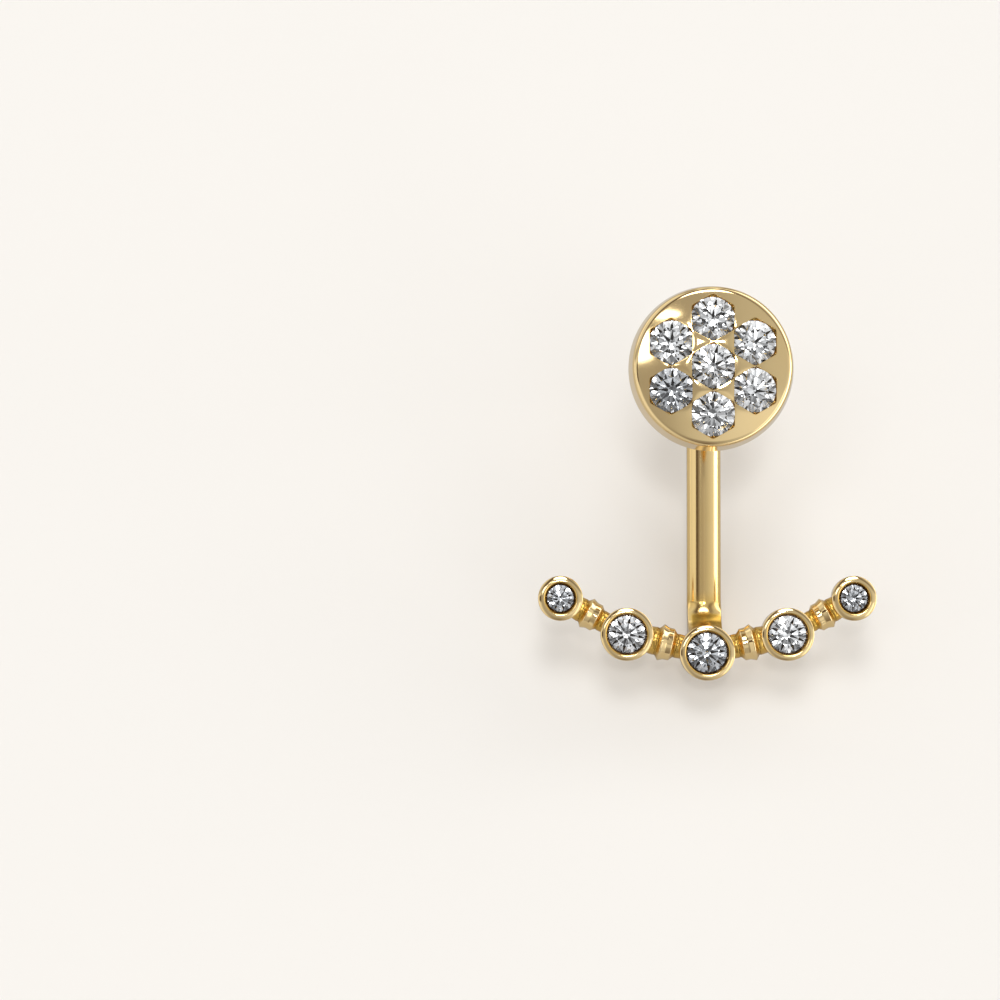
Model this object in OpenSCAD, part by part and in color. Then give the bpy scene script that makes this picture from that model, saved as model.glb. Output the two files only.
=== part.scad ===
// Ear jacket earring: a round stone-set stud and a hanging jacket with an arc of five set stones

/* [Stud] */
// Width of the round disc at its widest
disc_d = 6.5; // [6.4:0.05:7]
// Depth of the disc from its back to the crown of its domed face
disc_depth = 1.9; // [1.8:0.05:2.3]
// Radius of the dome that the face is part of
dome_r = 16; // [14:1:24]
// Diameter of the seven stones in the disc
disc_stone_d = 1.75; // [1.7:0.01:1.76]
// Distance from one stone of the disc to the next
stone_pitch = 1.9; // [1.89:0.01:1.95]
// Diameter of the ear post
post_d = 0.8; // [0.7:0.05:0.9]
// Length of the post behind the disc
post_length = 10.2; // [9.8:0.1:11.5]

/* [Jacket] */
// Free depth for the ear lobe between the disc and the stem
lobe_gap = 4.8; // [4.4:0.1:5.2]
// Height from the post down to the middle stone of the arc
drop = 11.2; // [10.5:0.1:13]
// Width of the half-round stem
stem_w = 1.36; // [1.2:0.02:1.5]
// Thickness of the stem from its flat back to its crown
stem_t = 0.95; // [0.9:0.01:1.1]
// Radius of the stem's half-round front
stem_front_r = 0.78; // [0.77:0.01:1.2]
// Inner radius of the bend that brings the stem forward under the lobe
bend_r = 0.9; // [0.85:0.05:1.2]
// Diameter of the eye that slides on the post
eye_d = 2.7; // [2.3:0.1:3.2]
// Thickness of each bezel's round rim
rim_w = 0.24; // [0.22:0.01:0.26]

/* [Back] */
// Diameter of the back's plate
back_d = 4.4; // [3.6:0.1:5]
// Depth of the whole back along the post
back_depth = 2.3; // [1.8:0.1:2.6]

/* [Fits] */
// Gap between a stone and the metal round it
stone_gap = 0.02; // [0.01:0.005:0.03]
// Radial play of the jacket's eye on the post
eye_play = 0.05; // [0.03:0.01:0.08]
// Radial gap between the back and the post
back_play = 0.02; // [0.01:0.01:0.04]
// Gap between the eye and the back
back_gap = 0.07; // [0.05:0.01:0.15]

/* [Hidden] */
$fn = 72;
gold = "#d9b777";
stone = "#eef2f6";
over = 0.3; // how far a cut runs past the face it opens

// Cut of every stone; lengths are shares of its radius
facets = 8;
turn = 360 / facets;
crown_angle = 34.5;
pavilion_angle = 40.75;
table_r = 0.57;
crown_h = (1 - table_r) * tan(crown_angle);
break_r = (table_r * cos(turn / 2) + 1) / 2;
break_h = crown_h * (1 - break_r * cos(turn / 2)) / (1 - table_r);
girdle_h = 0.06;
pavilion_h = tan(pavilion_angle);
half_r = 0.23;
half_h = pavilion_h * (1 - half_r * cos(turn / 2));
stone_turn = 17; // each stone is set this much further round than the one before

// Disc
outer_stones = 6;
edge_ease = 0.15;
wall_draft = 0.11;
shoulder_w = 0.16;
shoulder_h = 0.27;
wall_top_r = disc_d / 2 - wall_draft;
face_r = wall_top_r - shoulder_w;
face_edge_z = disc_depth - (dome_r - sqrt(dome_r * dome_r - face_r * face_r));
opening_web = 0.04; // metal left where the corners of two openings meet
opening_r = (stone_pitch - opening_web) / 2;
girdle_depth = 0.32;
back_hole_d = 0.84;
stone_tilt = asin(stone_pitch / dome_r);
post_root = 0.3;
post_tip = 0.2;
notch_from_end = 2; // the post's groove, from its end to the side of the groove nearest it
notch_w = 0.6;
notch_depth = 0.07;

// Jacket; z is 0 on the disc's back, and what lies behind it is below 0
stem_front_z = -lobe_gap;
stem_back_z = stem_front_z - stem_t;
foot_rise = 0.9; // top of the foot above the middle stone's centre
foot_bite = 0.12; // how far the foot runs into the middle bezel
foot_y = foot_rise - drop;
bend_y = foot_y + bend_r;
bend_z = stem_front_z + bend_r;
eye_t = stem_t - 0.05;

// Each row is a bezel, from the middle of the arc outwards
ACROSS = 0;
RISE = 1;
BEZEL_D = 2;
STONE_D = 3;
DEPTH = 4;
HOLE_D = 5;
bezels = [
  [0, 0, 2.22, 1.6, 1.36, 0],
  [3.22, 0.74, 2.12, 1.52, 1.3, 0.7],
  [5.88, 2.18, 1.8, 1.1, 1.1, 0.5]
];
rim_z = bend_z + bezels[0][DEPTH];
table_inset = 0.1;
lip_cover = 0.02;
lip_t = 0.1;
wall_inset = 0.015;
base_ease = 0.2;

// Roundels; each row of steps is a distance from the roundel's middle and the radius there
roundel_depth = 0.62; // axis of the roundels below the bezels' rims
roundel_bite = 0.11; // how far each end runs into its bezel
neck_r = 0.3;
ridge_w = 0.13;
band_hollow = 0.05;
steps = [[0.3, 0.42], [0.36, 0.35], [0.4, 0.42], [0.46, 0.42], [0.5, neck_r]];
// Ridge on the inner side and ridge on the outer side, from the middle of the arc outwards
ridges = [[0.6, 0.75], [0.59, 0.62]];

// Back
plate_t = 0.35;
boss_d = 2;
back_front_z = stem_back_z - back_gap;

function ring(n, r, z, shift = 0) = [
  for (k = [0 : n - 1]) [r * cos(360 / n * (k + shift)), r * sin(360 / n * (k + shift)), z]
];
function hop(a, b) = [b[ACROSS] - a[ACROSS], b[RISE] - a[RISE]];
function free_gap(a, b) = norm(hop(a, b)) - (a[BEZEL_D] + b[BEZEL_D]) / 2;

// Turns a shape whose top is +Z so that it faces the viewer along -Y
module facing_front() {
  rotate([90, 0, 0]) children();
}

// Round brilliant with its table on +Z and the top of its girdle at z = 0
module brilliant(d) {
  r = d / 2;
  points = concat(
    ring(facets, table_r * r, crown_h * r),
    ring(facets, break_r * r, break_h * r, 0.5),
    ring(2 * facets, r, 0),
    ring(2 * facets, r, -girdle_h * r),
    ring(facets, half_r * r, -(girdle_h + half_h) * r, 0.5),
    [[0, 0, -(girdle_h + pavilion_h) * r]]
  );
  brk = facets;
  top = 2 * facets;
  low = 4 * facets;
  half = 6 * facets;
  culet = 7 * facets;
  table = [for (k = [facets - 1 : -1 : 0]) k];
  stars = [for (k = [0 : facets - 1]) [k, (k + 1) % facets, brk + k]];
  kites = [
    for (k = [0 : facets - 1]) [k, brk + k, top + 2 * k, brk + (k + facets - 1) % facets]
  ];
  upper = [
    for (k = [0 : facets - 1], s = [0, 1])
      [brk + k, top + (2 * k + s + 1) % (2 * facets), top + 2 * k + s]
  ];
  girdle = [
    for (k = [0 : 2 * facets - 1])
      [top + k, top + (k + 1) % (2 * facets), low + (k + 1) % (2 * facets), low + k]
  ];
  lower = [
    for (k = [0 : facets - 1], s = [0, 1])
      [half + k, low + 2 * k + s, low + (2 * k + s + 1) % (2 * facets)]
  ];
  mains = [
    for (k = [0 : facets - 1]) [culet, half + (k + facets - 1) % facets, low + 2 * k, half + k]
  ];
  polyhedron(points, concat([table], stars, kites, upper, girdle, lower, mains));
}

// Room for a stone with its gap, and the hole behind it that reaches down to z = -reach
module stone_room(d, hole_d, reach) {
  r = d / 2 + stone_gap;
  girdle = girdle_h * d / 2 + stone_gap;
  crown_slope = break_h / (1 - break_r);
  pavilion_slope = half_h / (1 - half_r);
  translate([0, 0, stone_gap])
    cylinder(r1 = r, r2 = r * table_r, h = r * (1 - table_r) * crown_slope);
  translate([0, 0, -girdle]) cylinder(r = r, h = girdle + stone_gap);
  translate([0, 0, -girdle - r * pavilion_slope])
    cylinder(r1 = 0, r2 = r, h = r * pavilion_slope);
  if (hole_d > 0)
    translate([0, 0, -reach]) cylinder(d = hole_d, h = reach - girdle);
}

// Places its child at a stone of the disc: 1 is the middle one, 2 is the top one, then clockwise
module at_disc_stone(i) {
  tilt = i == 1 ? 0 : stone_tilt;
  translate([0, 0, disc_depth - dome_r])
    rotate([0, 0, 90 - 360 / outer_stones * (i - 2)])
      rotate([0, tilt, 0])
        translate([0, 0, dome_r - girdle_depth]) children();
}

module disc_body() {
  intersection() {
    rotate_extrude() polygon([
      [0, 0],
      [disc_d / 2 - edge_ease, 0],
      [disc_d / 2, edge_ease],
      [wall_top_r, face_edge_z - shoulder_h],
      [face_r, face_edge_z],
      [face_r, disc_depth + over],
      [0, disc_depth + over]
    ]);
    translate([0, 0, disc_depth - dome_r]) sphere(dome_r, $fn = 200);
  }
}

// Post with a V-shaped groove near its end, where a back catches
module ear_post() {
  notch_z = notch_from_end - post_length;
  notch_d = post_d - 2 * notch_depth;
  translate([0, 0, notch_z + notch_w])
    cylinder(d = post_d, h = post_length - notch_from_end - notch_w + post_root);
  translate([0, 0, notch_z + notch_w / 2]) cylinder(d1 = notch_d, d2 = post_d, h = notch_w / 2);
  translate([0, 0, notch_z]) cylinder(d1 = post_d, d2 = notch_d, h = notch_w / 2);
  translate([0, 0, post_tip - post_length]) cylinder(d = post_d, h = notch_from_end - post_tip);
  translate([0, 0, -post_length]) cylinder(d1 = post_d / 2, d2 = post_d, h = post_tip);
}

module stud_setting() {
  color(gold) facing_front() difference() {
    union() {
      disc_body();
      ear_post();
    }
    for (i = [1 : outer_stones + 1]) at_disc_stone(i) {
      stone_room(disc_stone_d, i == 1 ? 0 : back_hole_d, disc_depth + over);
      translate([0, 0, stone_gap]) cylinder(r = opening_r, h = girdle_depth + over, $fn = 6);
    }
  }
}

module disc_stone(i) {
  color(stone) facing_front() at_disc_stone(i) rotate(i * stone_turn) brilliant(disc_stone_d);
}

// Cross-section of the stem: across is x, and its crown is stem_t above its flat back
module stem_section() {
  intersection() {
    translate([0, stem_t - stem_front_r]) circle(stem_front_r);
    translate([-stem_w / 2, 0]) square([stem_w, stem_t + over]);
  }
}

module stem() {
  translate([0, 0, stem_back_z]) rotate([90, 0, 0]) linear_extrude(-bend_y) stem_section();
  translate([0, bend_y, bend_z]) rotate([0, 90, 180])
    rotate_extrude(angle = 90) translate([bend_r + stem_t, 0]) rotate(90) stem_section();
  translate([0, foot_y - stem_t, bend_z]) linear_extrude(foot_bite) stem_section();
  translate([0, 0, stem_back_z]) cylinder(d = eye_d, h = eye_t);
}

// Cup with a round rim whose top is at z = 0; the stone's girdle lies under its lip
module bezel(b) {
  r = b[BEZEL_D] / 2;
  tube = rim_w / 2;
  stone_r = b[STONE_D] / 2;
  girdle_z = -table_inset - crown_h * stone_r;
  lip_r = stone_r - lip_cover;
  lip_z = girdle_z + lip_t;
  difference() {
    rotate_extrude() union() {
      polygon([
        [0, -b[DEPTH]],
        [r - base_ease, -b[DEPTH]],
        [r - wall_inset, base_ease - b[DEPTH]],
        [r - wall_inset, -tube],
        [r - rim_w, -tube],
        [lip_r, lip_z],
        [0, lip_z]
      ]);
      translate([r - tube, -tube]) circle(tube);
    }
    translate([0, 0, girdle_z]) {
      stone_room(b[STONE_D], b[HOLE_D], b[DEPTH] + over);
      cylinder(r = lip_r, h = b[DEPTH]);
    }
  }
}

// Ridged link between two bezels, along +X from the rim of the inner one at x = 0
module roundel(gap, ridge) {
  mid = gap / 2;
  last = len(steps) - 1;
  rotate([0, 90, 0]) rotate_extrude() polygon(concat(
    [[0, -roundel_bite], [neck_r, -roundel_bite]],
    [for (i = [last : -1 : 0]) [steps[i][1], mid - steps[i][0]]],
    [[ridge[0], mid - ridge_w]],
    [[(ridge[0] + ridge[1]) / 2 - band_hollow, mid]],
    [[ridge[1], mid + ridge_w]],
    [for (i = [0 : last]) [steps[i][1], mid + steps[i][0]]],
    [[neck_r, gap + roundel_bite], [0, gap + roundel_bite]]
  ));
}

// Bezels and roundels to the right of the middle one
module arc_side() {
  for (i = [1 : 2]) translate([bezels[i][ACROSS], bezels[i][RISE] - drop, rim_z]) bezel(bezels[i]);
  for (i = [0 : 1]) {
    way = hop(bezels[i], bezels[i + 1]);
    translate([bezels[i][ACROSS], bezels[i][RISE] - drop, rim_z - roundel_depth])
      rotate([0, 0, atan2(way[1], way[0])])
        translate([bezels[i][BEZEL_D] / 2, 0, 0])
          roundel(free_gap(bezels[i], bezels[i + 1]), ridges[i]);
  }
}

module jacket_frame() {
  color(gold) facing_front() difference() {
    union() {
      stem();
      translate([0, -drop, rim_z]) bezel(bezels[0]);
      arc_side();
      mirror([1, 0, 0]) arc_side();
    }
    translate([0, 0, stem_back_z - over]) cylinder(r = post_d / 2 + eye_play, h = stem_t + 2 * over);
  }
}

// Stones of the arc: 1 is at the left end, 3 in the middle and 5 at the right end
module jacket_stone(i) {
  b = bezels[abs(i - 3)];
  girdle_z = rim_z - table_inset - crown_h * b[STONE_D] / 2;
  color(stone) facing_front()
    translate([sign(i - 3) * b[ACROSS], b[RISE] - drop, girdle_z])
      rotate(i * stone_turn) brilliant(b[STONE_D]);
}

module friction_back() {
  color(gold) facing_front() difference() {
    union() {
      translate([0, 0, back_front_z - plate_t]) cylinder(d = back_d, h = plate_t);
      translate([0, 0, back_front_z - back_depth]) cylinder(d = boss_d, h = back_depth);
    }
    translate([0, 0, back_front_z - back_depth - over])
      cylinder(r = post_d / 2 + back_play, h = back_depth + 2 * over);
  }
}

stud_setting();
disc_stone(1);  // disc_stone_1
disc_stone(2);  // disc_stone_2
disc_stone(3);  // disc_stone_3
disc_stone(4);  // disc_stone_4
disc_stone(5);  // disc_stone_5
disc_stone(6);  // disc_stone_6
disc_stone(7);  // disc_stone_7
jacket_frame();
jacket_stone(1);  // jacket_stone_1
jacket_stone(2);  // jacket_stone_2
jacket_stone(3);  // jacket_stone_3
jacket_stone(4);  // jacket_stone_4
jacket_stone(5);  // jacket_stone_5
friction_back();
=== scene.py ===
import math

import bmesh
import bpy
from mathutils import Matrix, Vector
from mathutils.geometry import delaunay_2d_cdt


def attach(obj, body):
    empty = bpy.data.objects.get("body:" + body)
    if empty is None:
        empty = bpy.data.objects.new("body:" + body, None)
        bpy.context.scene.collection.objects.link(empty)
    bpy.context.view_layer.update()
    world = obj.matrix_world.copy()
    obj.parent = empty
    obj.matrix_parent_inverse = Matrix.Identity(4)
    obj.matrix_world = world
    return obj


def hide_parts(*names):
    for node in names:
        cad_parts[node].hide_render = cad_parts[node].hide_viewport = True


# Ear jacket earring: a domed disc of seven diamonds on an ear post, and behind the lobe a jacket
# whose stem comes forward under it to an arc of five bezels. Lengths are in millimetres until a
# mesh is made. Shapes are worked out facing the viewer: x right, y up and z towards the viewer,
# with z = 0 on the disc's back, and are then turned to the frame's own axes.

mm = 0.001

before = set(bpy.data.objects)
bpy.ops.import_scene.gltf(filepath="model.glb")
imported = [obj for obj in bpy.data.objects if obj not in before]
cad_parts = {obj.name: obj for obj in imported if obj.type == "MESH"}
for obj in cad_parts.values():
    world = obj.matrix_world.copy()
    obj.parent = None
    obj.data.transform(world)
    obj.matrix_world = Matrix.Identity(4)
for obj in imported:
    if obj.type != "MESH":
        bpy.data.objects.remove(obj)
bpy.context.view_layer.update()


def toFrame(point):
    x, y, z = point
    return Vector((x, -z, y)) * mm


def directionFrom(acrossDegrees, upDegrees):
    # Unit vector from the earring, 0 across and 0 up pointing at the viewer
    across, up = math.radians(acrossDegrees), math.radians(upDegrees)
    return Vector((math.sin(across) * math.cos(up), -math.cos(across) * math.cos(up), math.sin(up)))


def hexColor(code):
    # sRGB hex to the linear colour that sockets take
    channels = [int(code[i:i + 2], 16) / 255 for i in (1, 3, 5)]
    linear = [c / 12.92 if c <= 0.04045 else ((c + 0.055) / 1.055) ** 2.4 for c in channels]
    return (*linear, 1.0)


def addNode(tree, kind, settings=None, links=None):
    # One node with its settings and links: an attribute or an input's value, and input -> socket
    node = tree.nodes.new(kind)
    for name, value in (settings or {}).items():
        if isinstance(name, int) or name in node.inputs:
            node.inputs[name].default_value = value
        else:
            setattr(node, name, value)
    for name, socket in (links or {}).items():
        tree.links.new(socket, node.inputs[name])
    return node


def fill(tree, socket, value):
    # A number or a colour is set on the socket, and another node's output is linked to it
    if isinstance(value, (int, float, tuple)):
        socket.default_value = value
    else:
        tree.links.new(value, socket)


def mathIn(tree):
    # Gives a function that adds a Math node to the tree
    def calc(operation, *values):
        node = addNode(tree, "ShaderNodeMath", {"operation": operation})
        for socket, value in zip(node.inputs, values):
            fill(tree, socket, value)
        return node.outputs[0]

    return calc


def ranged(tree, value, start, end, low=0.0, high=1.0, kind="LINEAR"):
    # Goes from low to high while the value goes from start to end
    return addNode(tree, "ShaderNodeMapRange", {
        "interpolation_type": kind, "From Min": start, "From Max": end, "To Min": low, "To Max": high},
        {"Value": value}).outputs["Result"]


def mixedColor(tree, share, low, high):
    node = addNode(tree, "ShaderNodeMix", {"data_type": "RGBA"}, {"Factor": share})
    fill(tree, node.inputs[6], low)
    fill(tree, node.inputs[7], high)
    return node.outputs[2]


def noise(tree, width, detail, where):
    # Soft noise whose patches are about that many millimetres wide
    return addNode(tree, "ShaderNodeTexNoise", {"Scale": 1 / (width * mm), "Detail": detail},
                   {"Vector": where}).outputs["Fac"]


# Camera

cameraSet = {
    "lens": 135.0,
    "sensor": 36.0,
    "arcFront": 2.54,  # how far behind the disc's back the rims' fronts lie
    "distance": 150.0,  # from the camera to the front of the arc
    "across": -8.3,  # the earring stands to the right of the middle of the picture
    "up": -9.8,
    "pitch": 1.8,  # degrees upwards
}


def makeCamera(s):
    data = bpy.data.cameras.new("camera")
    data.lens = s["lens"]
    data.sensor_width = s["sensor"]
    data.clip_start, data.clip_end = 0.01, 5.0
    camera = bpy.data.objects.new("camera", data)
    camera.location = Vector((s["across"], s["arcFront"] - s["distance"], s["up"])) * mm
    camera.rotation_euler = (math.radians(90 + s["pitch"]), 0, 0)
    bpy.context.scene.collection.objects.link(camera)
    bpy.context.scene.camera = camera
    bpy.context.scene.view_settings.view_transform = "Standard"  # the paper is nearly white


makeCamera(cameraSet)
print("camera placed")


# Outlines and meshes

def smooth(share):
    share = max(0.0, min(1.0, share))
    return share * share * (3 - 2 * share)


def eased(corners, stepDegrees=12.0):
    # Rounds the corners of an outline. A row is radius, height, ease and recess shade, which is how deep
    # the metal lies out of the polishing wheel's reach, so rougher and with painted shade and painted
    # reflection, up to 1 and past that the painted dark line at a stone.
    # A point just outside each arc keeps the shading of the straight stretches straight.
    points = []
    for i, (x, y, ease, recessShade) in enumerate(corners):
        here = Vector((x, y))
        if ease == 0 or i in (0, len(corners) - 1):
            points.append((x, y, recessShade))
            continue
        back = Vector(corners[i - 1][:2]) - here
        ahead = Vector(corners[i + 1][:2]) - here
        half = back.angle(ahead) / 2
        cut = ease / math.tan(half)
        centre = here + (back.normalized() + ahead.normalized()).normalized() * ease / math.sin(half)
        start = here + back.normalized() * cut - centre
        end = here + ahead.normalized() * cut - centre
        turn = math.pi - 2 * half
        steps = max(2, math.ceil(math.degrees(turn) / stepDegrees))
        sign = 1 if start.x * end.y - start.y * end.x > 0 else -1
        arc = [centre + Matrix.Rotation(sign * turn * k / steps, 2) @ start for k in range(steps + 1)]
        guardBack, guardAhead = (here + way.normalized() * min(cut * 1.2 + 0.01, way.length * 0.49)
                                 for way in (back, ahead))
        points += [(p.x, p.y, recessShade) for p in (guardBack, *arc, guardAhead)]
    return points


def outlineObject(name, points):
    mesh = bpy.data.meshes.new(name)
    edges = [(i, i + 1) for i in range(len(points) - 1)]
    mesh.from_pydata([(x, y, 0) for x, y, _ in points], edges, [])
    mesh.attributes.new("recessShade", "FLOAT", "POINT").data.foreach_set("value", [p[2] for p in points])
    piece = bpy.data.objects.new(name, mesh)
    bpy.context.scene.collection.objects.link(piece)
    return piece


def meshPiece(name, mesh, material, body):
    piece = bpy.data.objects.new(name, mesh)
    bpy.context.scene.collection.objects.link(piece)
    mesh.materials.clear()
    mesh.materials.append(material)
    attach(piece, body)
    return piece


def turnedTree():
    # Turns an outline (x is the radius, y the height) about its axis and stands one or two copies,
    # the second one mirrored across the middle of the earring
    tree = bpy.data.node_groups.new("turned part", "GeometryNodeTree")
    sockets = {"Outline": "Geometry", "Segments": "Int", "Copies": "Int", "Place": "Vector", "Lay": "Float",
               "Turn": "Float", "Finish": "Material"}
    for name, kind in sockets.items():
        tree.interface.new_socket(name, in_out="INPUT", socket_type="NodeSocket" + kind)
    tree.interface.new_socket("Metal", in_out="OUTPUT", socket_type="NodeSocketGeometry")
    given = addNode(tree, "NodeGroupInput").outputs
    calc = mathIn(tree)

    # A grid with a row of points for each point of the outline
    rows = addNode(tree, "GeometryNodeAttributeDomainSize", {"component": "MESH"}, {0: given["Outline"]})
    across = calc("ADD", given["Segments"], 1)
    sheet = addNode(tree, "GeometryNodeMeshGrid", {},
                    {"Vertices X": rows.outputs["Point Count"], "Vertices Y": across})
    index = addNode(tree, "GeometryNodeInputIndex").outputs[0]
    row = calc("FLOOR", calc("DIVIDE", calc("ADD", index, 0.5), across))
    angle = calc("MULTIPLY", calc("SUBTRACT", index, calc("MULTIPLY", row, across)),
                 calc("DIVIDE", 2 * math.pi, given["Segments"]))

    def ofOutline(kind, value):
        return addNode(tree, "GeometryNodeSampleIndex", {"data_type": kind},
                       {"Geometry": given["Outline"], "Value": value, "Index": row}).outputs[0]

    # Each row rolled up to its point's radius and height, with its recess shade, and the seam closed
    point = ofOutline("FLOAT_VECTOR", addNode(tree, "GeometryNodeInputPosition").outputs[0])
    radiusHeight = addNode(tree, "ShaderNodeSeparateXYZ", {}, {0: point}).outputs
    place = addNode(tree, "ShaderNodeCombineXYZ", {}, {
        "X": calc("MULTIPLY", radiusHeight["X"], calc("COSINE", angle)),
        "Y": calc("MULTIPLY", radiusHeight["X"], calc("SINE", angle)), "Z": radiusHeight["Y"]})
    rolled = addNode(tree, "GeometryNodeSetPosition", {},
                     {"Geometry": sheet.outputs["Mesh"], "Position": place.outputs[0]})
    named = addNode(tree, "GeometryNodeInputNamedAttribute", {"data_type": "FLOAT", "Name": "recessShade"})
    recessShade = ofOutline("FLOAT", named.outputs["Attribute"])
    marked = addNode(tree, "GeometryNodeStoreNamedAttribute",
                     {"data_type": "FLOAT", "domain": "POINT", "Name": "recessShade"},
                     {"Geometry": rolled.outputs[0], "Value": recessShade})
    closed = addNode(tree, "GeometryNodeMergeByDistance", {"Distance": 1e-5},
                     {"Geometry": marked.outputs[0]})

    # One or two copies in their places
    flip = addNode(tree, "ShaderNodeVectorMath", {"operation": "MULTIPLY", 1: (-1, 1, 1)},
                   {0: given["Place"]})
    stands = addNode(tree, "GeometryNodeMeshLine", {"mode": "END_POINTS"}, {
        "Count": given["Copies"], "Start Location": given["Place"], "Offset": flip.outputs[0]})
    mirrorTurn = calc("SUBTRACT", math.pi, calc("MULTIPLY", given["Turn"], 2))
    facing = addNode(tree, "ShaderNodeCombineXYZ", {}, {
        "Y": given["Lay"], "Z": calc("ADD", given["Turn"], calc("MULTIPLY", index, mirrorTurn))})
    copies = addNode(tree, "GeometryNodeInstanceOnPoints", {}, {
        "Points": stands.outputs["Mesh"], "Instance": closed.outputs[0], "Rotation": facing.outputs[0]})
    real = addNode(tree, "GeometryNodeRealizeInstances", {}, {0: copies.outputs[0]})
    framed = addNode(tree, "GeometryNodeTransform",
                     {"Rotation": (math.pi / 2, 0, 0), "Scale": (mm, mm, mm)},
                     {"Geometry": real.outputs[0]})
    shaded = addNode(tree, "GeometryNodeSetShadeSmooth", {}, {0: framed.outputs[0]})
    finished = addNode(tree, "GeometryNodeSetMaterial", {},
                       {"Geometry": shaded.outputs[0], "Material": given["Finish"]})
    tree.links.new(finished.outputs[0], addNode(tree, "NodeGroupOutput").inputs[0])
    return tree


turned = turnedTree()
print("tree for turned parts made")


def turnedMesh(name, outline, inputs):
    # Runs the tree on an outline and keeps the result as a plain mesh whose faces point outwards
    source = outlineObject(name, outline)
    modifier = source.modifiers.new("turned", "NODES")
    modifier.node_group = turned
    sockets = {item.name: item.identifier for item in turned.interface.items_tree if item.in_out == "INPUT"}
    usual = {"Copies": 1, "Lay": 0.0, "Turn": 0.0, "Finish": gold}
    for key, value in {**usual, **inputs}.items():
        modifier[sockets[key]] = value
    evaluated = source.evaluated_get(bpy.context.evaluated_depsgraph_get())
    mesh = bpy.data.meshes.new_from_object(evaluated)
    bpy.data.objects.remove(source)
    return outwards(mesh)


def outwards(mesh):
    shape = bmesh.new()
    shape.from_mesh(mesh)
    bmesh.ops.recalc_face_normals(shape, faces=shape.faces)
    shape.to_mesh(mesh)
    shape.free()
    return mesh


def bridge(shape, one, two):
    # A band of faces between two loops of as many points
    for i in range(len(one)):
        j = (i + 1) % len(one)
        shape.faces.new((one[i], one[j], two[j], two[i]))
    return two


def joined(name, meshes):
    shape = bmesh.new()
    for mesh in meshes:
        shape.from_mesh(mesh)
    whole = bpy.data.meshes.new(name)
    shape.to_mesh(whole)
    shape.free()
    return whole


# Materials

goldSet = {
    "color": "#F1D6A0",  # 14 carat yellow gold, polished
    "deepShadeColor": "#DDB24F",  # painted shade and painted reflection of gold in gold, in corners and grooves
    "shadowColor": "#6E4A1C",  # painted shade: the dark line round a stone and in the deepest corners
    "deepShare": 0.75,  # share of the painted deep colour where the recess shade is 1
    "shadowRecess": (1.0, 1.5),  # recess shade where the painted dark line begins and where it is full
    "patchWidth": 2.2,  # mm between slightly warmer patches
    "patchShare": 0.12,
    "roughness": 0.075,
    "recessRoughness": 0.26,
    "waveWidth": 1.3,  # mm between the soft waves that hand polishing leaves
    "waveHeight": 0.004,
    "scratchSpacing": 0.06,  # mm between hairlines; drawn coarser than the real ones so that they show
    "scratchHeight": 0.0001,
    "scratchTurn": (0.5, 0.7, 0.4),
    "scratchStretch": (1, 0.06, 1),
}


def polishedGold(s, name):
    # Cast 14 carat gold, buffed: a mirror with slight waves, fine hairlines, and in recesses rougher metal
    # with painted shade and painted reflection of gold in gold
    material = bpy.data.materials.new(name)
    material.use_nodes = True
    tree = material.node_tree
    shader = tree.nodes["Principled BSDF"]
    shader.inputs["Metallic"].default_value = 1.0
    where = addNode(tree, "ShaderNodeTexCoord").outputs["Object"]
    recessShade = addNode(tree, "ShaderNodeAttribute", {"attribute_name": "recessShade"}).outputs["Fac"]

    # Colour and polish follow the recess shade: painted shade and painted reflection in the colour,
    # roughness in the polish
    tone = ranged(tree, noise(tree, s["patchWidth"], 3.0, where), 0.3, 0.7, 0.0, s["patchShare"])
    # A random warmer tone plus the painted shade from the recess shade
    toneAndShade = mathIn(tree)("MULTIPLY_ADD", recessShade, s["deepShare"], tone)
    color = mixedColor(tree, toneAndShade, hexColor(s["color"]), hexColor(s["deepShadeColor"]))
    shadowLined = mixedColor(tree, ranged(tree, recessShade, *s["shadowRecess"]), color, hexColor(s["shadowColor"]))
    tree.links.new(shadowLined, shader.inputs["Base Color"])
    rough = ranged(tree, toneAndShade, 0.0, 1.0, s["roughness"], s["recessRoughness"])
    tree.links.new(rough, shader.inputs["Roughness"])

    # Soft waves, and the hairlines on them
    waves = addNode(tree, "ShaderNodeBump", {"Distance": s["waveHeight"] * mm, "Strength": 1.0},
                    {"Height": noise(tree, s["waveWidth"], 1.0, where)})
    stretched = addNode(tree, "ShaderNodeMapping",
                        {"Rotation": s["scratchTurn"], "Scale": s["scratchStretch"]}, {"Vector": where})
    lines = noise(tree, s["scratchSpacing"], 2.0, stretched.outputs[0])
    fine = addNode(tree, "ShaderNodeBump", {"Distance": s["scratchHeight"] * mm, "Strength": 1.0},
                   {"Height": lines, "Normal": waves.outputs[0]})
    tree.links.new(fine.outputs[0], shader.inputs["Normal"])
    return material


diamondSet = {
    "bright": ("#FFFFFF", "#F3F7FB"),  # clear and cloudy
    "shadedDiamond": ("#DDDFE2", "#CDD2D8"),  # painted shade: darker, greyer tints for the stones that look darker
    "shadedStones": ("disc_stone_6", "jacket_stone_1", "jacket_stone_3", "jacket_stone_5"),
    "ior": 2.417,
    "cloudWidth": 0.35,  # mm
    "shine": "#909090",  # light that tables and crowns throw back, dimmed in the material as painted shade for the dark camera they face
}


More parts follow.
